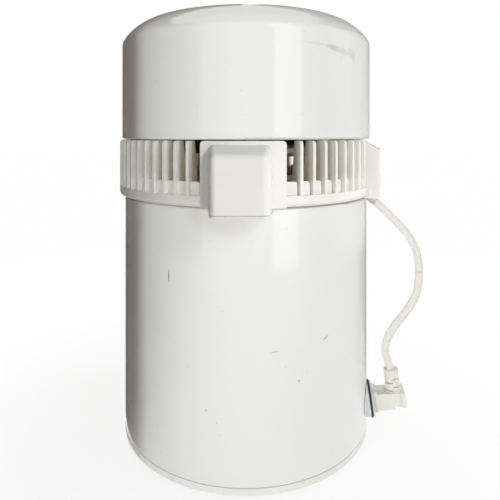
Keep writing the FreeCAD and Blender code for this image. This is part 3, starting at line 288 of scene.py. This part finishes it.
def moulded(name, color, shade, roughness, grain=900.0, dirt=(0.35, 0.30, 0.24), dirt_share=0.10,
            specular=0.5):
    """Moulded plastic: uneven tint, fine grain and a little soiling."""
    m = Nodes(name, color, roughness)
    tint = m.ramp(m.noise(28.0, 4.0), 0.35, 0.70)
    soil = m.ramp(m.noise(46.0, 5.0, 0.6), 0.58, 0.80, 0.0, dirt_share)
    m.color(m.mix(soil, m.mix(tint, color, shade), dirt))
    m.rough(m.ramp(m.noise(160.0, 4.0), 0.3, 0.7, roughness * 0.85, roughness * 1.2))
    m.bump(m.noise(grain, 2.0), 0.10, 0.0002)
    m.shader.inputs["Specular IOR Level"].default_value = specular
    return m.material


def metal(name, color, roughness, stretch=(1, 1, 18), dusty=False):
    """Brushed or drawn metal: fine lines, patchy shine and tarnish, and dust low in the grille."""
    m = Nodes(name, color, roughness, 1.0)
    lines = m.noise(90.0, 5.0, 0.7, stretch)
    stain = m.ramp(m.noise(34.0, 5.0, 0.6), 0.55, 0.80, 0.0, 0.45)
    base = m.mix(stain, m.mix(lines, color, tuple(c * 0.78 for c in color)), TARNISH)
    if dusty:
        height = m.axes()["Z"]
        share = m.math("MULTIPLY", m.ramp(height, *METAL_DUST_HEIGHT, 0.92, 0.25),
                       m.ramp(m.noise(120.0, 4.0), 0.25, 0.6, 0.6, 1.0))
        share = m.math("MULTIPLY", share, m.ramp(height, *METAL_DUST_FLOOR))
        base = m.mix(share, base, METAL_DUST)
        m.link(m.math("SUBTRACT", 1.0, share), m.shader.inputs["Metallic"])
    m.color(base)
    m.rough(m.ramp(lines, 0.3, 0.7, roughness * 0.7, roughness * 1.4))
    m.bump(lines, 0.18, 0.0002)
    return m.material


def rubber(name, color, shade, roughness=0.62, grain=700.0):
    """Rubber, silicone or cloth: dull, mottled and grained."""
    m = Nodes(name, color, roughness)
    m.color(m.mix(m.ramp(m.noise(60.0, 5.0), 0.35, 0.75), color, shade))
    m.rough(m.ramp(m.noise(240.0, 3.0), 0.3, 0.7, roughness * 0.85, min(1.0, roughness * 1.15)))
    m.bump(m.noise(grain, 3.0), 0.22, 0.0003)
    return m.material


# Wear and stains that the photographed enamel shows, with one painted shadow among them, each mark as
# azimuth, height, length, width, tilt in degrees, colour, strength and, where it isn't the usual, how
# ragged the edge is.
COVER_WEAR = (                  # the smear on the head, from its thin left end, and two faint streaks by it
    (29.5, 0.3337, 0.032, 0.0028, -3.0, (0.66, 0.62, 0.52), 0.45),
    (36.5, 0.3322, 0.015, 0.0055, -14.0, (0.50, 0.41, 0.30), 0.60),
    (41.5, 0.3308, 0.022, 0.0060, -12.0, (0.62, 0.53, 0.40), 0.55),
    (48.5, 0.3298, 0.015, 0.0100, -16.0, (0.66, 0.57, 0.45), 0.55),
    (49.5, 0.3268, 0.005, 0.0090, 8.0, (0.60, 0.55, 0.44), 0.40),
    (41.5, 0.3258, 0.0024, 0.0070, 4.0, (0.62, 0.60, 0.52), 0.25),
    (33.5, 0.3392, 0.0026, 0.0080, 25.0, (0.66, 0.63, 0.54), 0.25),
)
SHELL_WEAR_AND_SHADOW = (                  # three scratches, two spots, and below the nozzle a brownish patch that is a stain and also painted shadow of the nozzle
    (-30.7, 0.1576, 0.0012, 0.0110, 0.0, (0.14, 0.13, 0.12), 0.95),
    (33.9, 0.1098, 0.0075, 0.0018, 20.0, (0.34, 0.32, 0.28), 0.75),
    (11.9, 0.1061, 0.0080, 0.0016, 8.0, (0.45, 0.42, 0.36), 0.60),
    (21.5, 0.0823, 0.0022, 0.0022, 0.0, (0.30, 0.26, 0.20), 0.70),
    (-14.2, 0.0622, 0.0024, 0.0020, 0.0, (0.34, 0.29, 0.22), 0.60),
    # Painted shadow: the nozzle's shadow on the shell, laid into the brownish stain below it.
    (-9.5, 0.2030, 0.0560, 0.0270, -10.0, (0.56, 0.50, 0.37), 0.34, 0.6),
)


def enamel(name, radius, wear_and_shadow, seam=None):
    """Glossy stove enamel: faint orange peel, patches, specks and marks, and grime where a seam is."""
    m = Nodes(name, ENAMEL_WHITE, 0.14)
    base = m.mix(m.ramp(m.noise(7.0, 3.0), 0.35, 0.68), ENAMEL_WHITE, ENAMEL_SHADE)
    specks = m.ramp(m.noise(430.0, 2.0, 0.5), 0.748, 0.785, 0.0, 0.60)
    base = m.mix(specks, base, ENAMEL_SPECK)
    bloom = m.ramp(m.noise(22.0, 6.0, 0.7, (1, 1, 0.35)), 0.60, 0.80, 0.0, 0.10)
    base = m.mix(bloom, base, ENAMEL_BLOOM)
    wall = m.round_wall(radius)
    # Each mark is wear or a stain; the shell's patch below the nozzle is also painted shadow.
    for azimuth, height, length, width, tilt, stain, strength, *ragged in wear_and_shadow:
        mark = m.mark(wall, radius, azimuth, height, length, width, tilt, *ragged)
        base = m.mix(m.math("MULTIPLY", mark, strength), base, stain)
    if seam is not None:
        grime = m.ramp(wall[1], seam + SEAM_GRIME_HEIGHT / 2, seam + SEAM_GRIME_HEIGHT, 0.75, 0.0)
        base = m.mix(grime, base, SEAM_GRIME)
    m.color(base)
    m.rough(m.ramp(m.noise(40.0, 5.0, 0.65), 0.35, 0.75, 0.10, 0.20))
    m.bump(m.noise(190.0, 2.0), 0.035, 0.0004)
    m.shader.inputs["Coat Weight"].default_value = 0.9
    m.shader.inputs["Coat Roughness"].default_value = 0.05
    return m.material


def grille_finish():
    """Ivory plastic, clean at the blades' outer edges, and yellowed, dusty and darker further in, where
    painted shade stands for the shadow between the blades.
    """
    m = Nodes("ring_finish", (0.80, 0.79, 0.735), 0.34)
    tint = m.ramp(m.noise(28.0, 4.0), 0.35, 0.70)
    clean = m.mix(tint, (0.82, 0.815, 0.77), (0.79, 0.78, 0.72))
    # Painted shade with the dust: darker and browner towards the axis, deep between the blades.
    dust_and_shade = m.math("MULTIPLY", m.ramp(m.reach(), *RING_DUST_AND_SHADE_REACH, 1.0, 0.0),
                  m.ramp(m.noise(90.0, 5.0, 0.6), 0.25, 0.70, 0.55, 1.0))
    m.color(m.mix(dust_and_shade, clean, RING_DUST_AND_SHADE))
    m.rough(m.ramp(m.noise(160.0, 4.0), 0.3, 0.7, 0.30, 0.42))
    m.bump(m.noise(900.0, 2.0), 0.10, 0.0002)
    m.shader.inputs["Subsurface Weight"].default_value = 0.20
    m.shader.inputs["Subsurface Radius"].default_value = (1.0, 0.85, 0.6)
    m.shader.inputs["Subsurface Scale"].default_value = 0.002
    return m.material


# By material slot. Most finishes give their colour, the tint that it is mottled with and their roughness.
FINISHES = {
    "enamel": enamel("enamel_finish", COVER_RADIUS, COVER_WEAR),
    "ring_plastic": grille_finish(),
    "nozzle_plastic": moulded("nozzle_finish", (0.80, 0.795, 0.765), (0.78, 0.775, 0.74), 0.09,
                              dirt_share=0.03, specular=0.35),
    "base_plastic": moulded("base_finish", (0.83, 0.83, 0.79), (0.79, 0.785, 0.745), 0.34),
    "stainless": metal("stainless_finish", (0.46, 0.43, 0.38), 0.46, dusty=True),
    "zinc_steel": metal("zinc_finish", (0.56, 0.57, 0.58), 0.40, (6, 6, 6)),
    "aluminium": metal("fin_finish", (0.50, 0.49, 0.47), 0.48, (3, 3, 14), dusty=True),
    "element_steel": metal("element_finish", (0.30, 0.26, 0.22), 0.5, (8, 8, 8)),
    "brass": metal("brass_finish", (0.72, 0.55, 0.25), 0.30, (8, 8, 8)),
    "rubber_foot": rubber("foot_finish", (0.035, 0.035, 0.035), (0.07, 0.068, 0.06)),
    "silicone": rubber("silicone_finish", (0.52, 0.46, 0.35), (0.42, 0.36, 0.26), 0.6),
    "navy_rubber": rubber("gasket_finish", (0.008, 0.015, 0.026), (0.016, 0.025, 0.038), 0.48),
    "inlet_black": moulded("inlet_finish", (0.03, 0.03, 0.031), (0.05, 0.05, 0.05), 0.5,
                           grain=1200.0, dirt=(0.2, 0.19, 0.17)),
    "bezel_plastic": moulded("bezel_finish", (0.87, 0.91, 0.94), (0.83, 0.88, 0.92), 0.22,
                             dirt_share=0.04),
    "socket_white": moulded("socket_finish", (0.78, 0.785, 0.79), (0.72, 0.72, 0.71), 0.3),
    "phenolic": moulded("phenolic_finish", (0.46, 0.38, 0.26), (0.36, 0.28, 0.18), 0.5),
    "thermostat_body": moulded("thermostat_finish", (0.18, 0.10, 0.055), (0.12, 0.07, 0.04), 0.45),
    "button_black": moulded("button_finish", (0.04, 0.04, 0.04), (0.06, 0.06, 0.06), 0.35,
                            grain=1200.0, dirt=(0.2, 0.2, 0.18)),
    "cord_ivory": moulded("cord_finish", (0.765, 0.74, 0.70), (0.75, 0.72, 0.67), 0.34, dirt_share=0.03),
    "plug_ivory": moulded("plug_finish", (0.755, 0.74, 0.68), (0.70, 0.675, 0.60), 0.36),
    "motor_steel": moulded("motor_finish", (0.045, 0.045, 0.048), (0.08, 0.075, 0.07), 0.4,
                           grain=600.0, dirt=(0.3, 0.28, 0.25)),
    "fan_plastic": moulded("fan_finish", (0.04, 0.04, 0.043), (0.07, 0.07, 0.07), 0.45,
                           dirt=(0.4, 0.38, 0.34), dirt_share=0.3),
    "charcoal_cloth": rubber("sachet_finish", (0.12, 0.12, 0.12), (0.2, 0.2, 0.19), 0.9, 300.0),
}

for entry in frame["record"]["subparts"]:
    node = frame["nodes"][entry["node"]]
    node.data.materials.clear()
    node.data.materials.append(FINISHES[entry["material_slot"]])

# The shell shares the cover's enamel, with marks of its own and a seam at its lower edge.
shell = frame["nodes"]["outer_shell"]
shell_edge = min((shell.matrix_world @ v.co).z for v in shell.data.vertices)
shell.data.materials[0] = enamel("shell_finish", BODY_RADIUS, SHELL_WEAR_AND_SHADOW, shell_edge)


# ---------------------------------------------------------------- cord
def spline_points(name, points):
    """Places along the NURBS line that a route's points control."""
    curve = bpy.data.curves.new(name + "_line", "CURVE")
    curve.dimensions = "3D"
    curve.resolution_u = CORD_CURVE_STEPS
    spline = curve.splines.new("NURBS")
    spline.points.add(len(points) - 1)
    for point, place in zip(spline.points, points):
        point.co = (*place, 1)
    spline.order_u = 3
    spline.use_endpoint_u = True
    holder = bpy.data.objects.new(name + "_line", curve)
    bpy.context.scene.collection.objects.link(holder)
    bpy.context.view_layer.update()
    line = bpy.data.meshes.new_from_object(holder)
    path = [v.co.copy() for v in line.vertices]
    bpy.data.objects.remove(holder)
    bpy.data.meshes.remove(line)
    return path


def tube(path, radius, first_heading, last_heading):
    """Vertices and faces of a round tube along a path, its flat caps square to a heading at each end."""
    verts = []
    faces = []
    last = len(path) - 1
    side = (path[1] - path[0]).cross(Vector((0, 0, 1))).normalized()
    for k, centre in enumerate(path):
        if k == 0:
            heading = first_heading.normalized()
        elif k == last:
            heading = last_heading.normalized()
        else:
            heading = (path[k + 1] - path[k - 1]).normalized()
        side = (side - heading * side.dot(heading)).normalized()
        across = heading.cross(side)
        for s in range(CORD_SIDES):
            angle = 2 * math.pi * s / CORD_SIDES
            spoke = side * (radius * math.cos(angle)) + across * (radius * math.sin(angle))
            verts.append(centre + spoke)
    for k in range(last):
        for s in range(CORD_SIDES):
            a = k * CORD_SIDES + s
            b = k * CORD_SIDES + (s + 1) % CORD_SIDES
            faces.append((a, b, b + CORD_SIDES, a + CORD_SIDES))
    faces.append(tuple(reversed(range(CORD_SIDES))))
    faces.append(tuple(range(last * CORD_SIDES, len(verts))))
    return verts, faces


def add_mesh(name, verts, faces, material):
    """A new object in the scene."""
    mesh = bpy.data.meshes.new(name)
    mesh.from_pydata(verts, [], faces)
    mesh.materials.append(material)
    made = bpy.data.objects.new(name, mesh)
    bpy.context.scene.collection.objects.link(made)
    return made


def make_cord(name, route):
    """Half of the fan cord, drawn as a tube along its route in place of the part's own mesh, which is
    hidden.
    """
    places = [on_side(p) for p in route]
    path = spline_points(name, places)
    verts, faces = tube(path, CORD_DIAMETER / 2, places[1] - places[0], places[-1] - places[-2])
    cord = add_mesh(name + "_tube", verts, faces, FINISHES["cord_ivory"])
    for wall in cord.data.polygons[:-2]:
        wall.use_smooth = True
    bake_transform(cord)
    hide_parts(name)
    return cord, path


upper, upper_path = make_cord("fan_cord_upper", CORD_UPPER_ROUTE)
lower, lower_path = make_cord("fan_cord_lower", CORD_LOWER_ROUTE)


# ---------------------------------------------------------------- stage, light and camera
def seen_share(tree):
    """1 for camera, glossy and transmission rays, 0 for the rays that light surfaces."""
    rays = tree.nodes.new("ShaderNodeLightPath")
    share = rays.outputs["Is Camera Ray"]
    for name in ("Is Glossy Ray", "Is Transmission Ray"):
        either = tree.nodes.new("ShaderNodeMath")
        either.operation = "MAXIMUM"
        tree.links.new(share, either.inputs[0])
        tree.links.new(rays.outputs[name], either.inputs[1])
        share = either.outputs[0]
    return share


def floor_finish():
    """White paper: it takes the object's shadow near it and fades into the backdrop further out."""
    m = Nodes("floor_paper", (0.88, 0.88, 0.88), 0.9)
    glow = m.node("ShaderNodeEmission")
    glow.inputs["Color"].default_value = (1, 1, 1, 1)
    share = m.ramp(m.reach(), *PAPER_FADE, PAPER_GLOW, 1.0)
    grain = m.ramp(m.noise(500.0, 2.0), 0.3, 0.7, 0.985, 1.0)
    share = m.math("MULTIPLY", m.math("MULTIPLY", share, grain), seen_share(m.tree))
    blend = m.node("ShaderNodeMixShader")
    m.link(share, blend.inputs[0])
    m.link(m.shader.outputs[0], blend.inputs[1])
    m.link(glow.outputs[0], blend.inputs[2])
    m.surface(blend.outputs[0])
    return m.material


def screen_finish(name, start, end, start_color, end_color):
    """Cloth that goes from one tone to another round the object."""
    m = Nodes(name, end_color, 0.95)
    m.color(m.two_tones(start, end, start_color, end_color, 40.0, 0.06))
    return m.material


def glow_card_finish(name, start, end, start_color, end_color):
    """A self-lit glow that goes from one colour to another round the object, whatever the lamps do: on the
    floor cards it is a painted reflection.
    """
    m = Nodes(name, end_color, 0.95)
    glow = m.node("ShaderNodeEmission")
    m.link(m.two_tones(start, end, start_color, end_color, 60.0, 0.05), glow.inputs["Color"])
    m.surface(glow.outputs[0])
    return m.material


def add_stage(name, verts, faces, material):
    """A new object that belongs to the stage, not to the distiller."""
    made = add_mesh(name, verts, faces, material)
    return made


def make_floor():
    r = FLOOR_REACH
    add_stage("floor", [(-r, -r, 0), (r, -r, 0), (r, r, 0), (-r, r, 0)], [(0, 1, 2, 3)], floor_finish())


def add_arc(name, start, end, edges, material):
    """A strip round the axis between two edges, each a distance from the axis and a height."""
    steps = math.ceil(abs(end - start) / ARC_STEP)
    verts = []
    for k in range(steps + 1):
        side = outward(start + (end - start) * k / steps)
        verts += [(side.x * distance, side.y * distance, height) for distance, height in edges]
    faces = [(2 * k, 2 * k + 2, 2 * k + 3, 2 * k + 1) for k in range(steps)]
    return add_stage(name, verts, faces, material)


def make_screen(name, start, end, material):
    """An upright screen: gloss shows it and it shades its side, but the camera doesn't see it."""
    edges = ((SCREEN_DISTANCE, 0.0), (SCREEN_DISTANCE, SCREEN_HEIGHT))
    add_arc(name, start, end, edges, material).visible_camera = False


def make_floor_card(name, start, end, material):
    """A glowing card beside the object that only gloss shows: a painted reflection that stands for what
    lies past the table.
    """
    edges = ((CARD_INNER, CARD_HEIGHT), (SCREEN_DISTANCE, CARD_HEIGHT))
    card = add_arc(name, start, end, edges, material)
    card.visible_camera = False
    card.visible_diffuse = False
    card.visible_shadow = False


def make_flag():
    """A card that keeps the fill light off the body's far left."""
    azimuth, _, distance, *_ = LAMPS["fill"]
    edge = outward(FLAG_AZIMUTH) * BODY_RADIUS
    ray = (outward(azimuth) * distance - edge).normalized()
    inner = edge + ray * FLAG_STANDOFF
    outer = inner + Vector((ray.y, -ray.x, 0)) * FLAG_WIDTH
    verts = [(inner.x, inner.y, FLAG_BOTTOM), (outer.x, outer.y, FLAG_BOTTOM),
             (outer.x, outer.y, FLAG_TOP), (inner.x, inner.y, FLAG_TOP)]
    black = Nodes("flag_card", (0.05, 0.05, 0.05), 0.9).material
    flag = add_stage("fill_flag", verts, [(0, 1, 2, 3)], black)
    flag.visible_camera = False
    flag.visible_glossy = False


def make_world():
    """White where it is seen, and dim where it lights surfaces."""
    world = bpy.data.worlds.new("studio")
    bpy.context.scene.world = world
    world.use_nodes = True
    tree = world.node_tree
    background = tree.nodes["Background"]
    background.inputs["Color"].default_value = (1, 1, 1, 1)
    strength = tree.nodes.new("ShaderNodeMapRange")
    strength.inputs["To Min"].default_value = WORLD_LIGHT
    strength.inputs["To Max"].default_value = 1.0
    tree.links.new(seen_share(tree), strength.inputs["Value"])
    tree.links.new(strength.outputs["Result"], background.inputs["Strength"])


def add_lamp(name, target_height, azimuth, elevation, distance, width, height, power):
    """An area lamp that faces the axis at a height."""
    lamp = bpy.data.lights.new(name, "AREA")
    lamp.shape = "RECTANGLE"
    lamp.size = width
    lamp.size_y = height
    lamp.energy = power
    holder = bpy.data.objects.new(name, lamp)
    rise = math.radians(elevation)
    away = outward(azimuth) * math.cos(rise) + Vector((0, 0, math.sin(rise)))
    holder.location = Vector((0, 0, target_height)) + away * distance
    holder.rotation_euler = (-away).to_track_quat("-Z", "Y").to_euler()
    bpy.context.scene.collection.objects.link(holder)
    return holder


def link_group(name, nodes, state):
    """A collection of nodes that a lamp's light is kept to or kept from."""
    group = bpy.data.collections.new(name)
    for node in nodes:
        group.objects.link(frame["nodes"][node])
    for entry in group.collection_objects:
        entry.light_linking.link_state = state
    return group


def make_lights():
    """A tall window whose reflection stands on the enamel, and soft lamps that gloss doesn't show."""
    add_lamp("window", WINDOW_TARGET, *WINDOW)
    linking = {}
    for name, values in LAMPS.items():
        lamp = add_lamp(name, LAMP_TARGET, *values)
        lamp.visible_glossy = False
        lamp.visible_camera = False
        linking[name] = lamp.light_linking
    for name, nodes in LEFT_UNLIT.items():
        linking[name].receiver_collection = link_group("kept_from_" + name, nodes, "EXCLUDE")
    for name, nodes in LIT_ALONE.items():
        linking[name].receiver_collection = link_group("lit_by_" + name, nodes, "INCLUDE")
    # The fill light also goes through what it doesn't light, so that the louvres cast no shadow of it.
    linking["fill"].blocker_collection = linking["fill"].receiver_collection


def make_camera():
    data = bpy.data.cameras.new("camera")
    data.lens = CAMERA_LENS
    data.sensor_width = CAMERA_SENSOR
    data.shift_x = CAMERA_SHIFT_X
    data.shift_y = CAMERA_SHIFT_Y
    camera = bpy.data.objects.new("camera", data)
    away = outward(CAMERA_AZIMUTH)
    camera.location = away * CAMERA_DISTANCE + Vector((0, 0, CAMERA_HEIGHT))
    camera.rotation_euler = (-away).to_track_quat("-Z", "Y").to_euler()
    bpy.context.scene.collection.objects.link(camera)
    bpy.context.scene.camera = camera


# Screens and cards run from one azimuth to another, and so do their changes of tone.
make_floor()
make_screen("left_screen", -35.0, -178.0,
            screen_finish("left_cloth", -35.0, -95.0, (0.72, 0.71, 0.68), (0.30, 0.245, 0.19)))
make_screen("right_screen", 100.0, 178.0,
            screen_finish("right_cloth", 100.0, 150.0, (0.85, 0.85, 0.83), (0.62, 0.60, 0.55)))
make_floor_card("left_floor", -12.0, -178.0,
                glow_card_finish("left_reflection_glow", -20.0, -85.0, (0.96, 0.96, 0.95), (0.15, 0.12, 0.09)))
make_floor_card("right_floor", 62.0, 178.0,
                glow_card_finish("right_reflection_glow", 70.0, 140.0, (0.96, 0.96, 0.95), (0.40, 0.39, 0.36)))
make_flag()
make_world()
make_lights()
make_camera()
bpy.context.scene.view_settings.view_transform = "Standard"
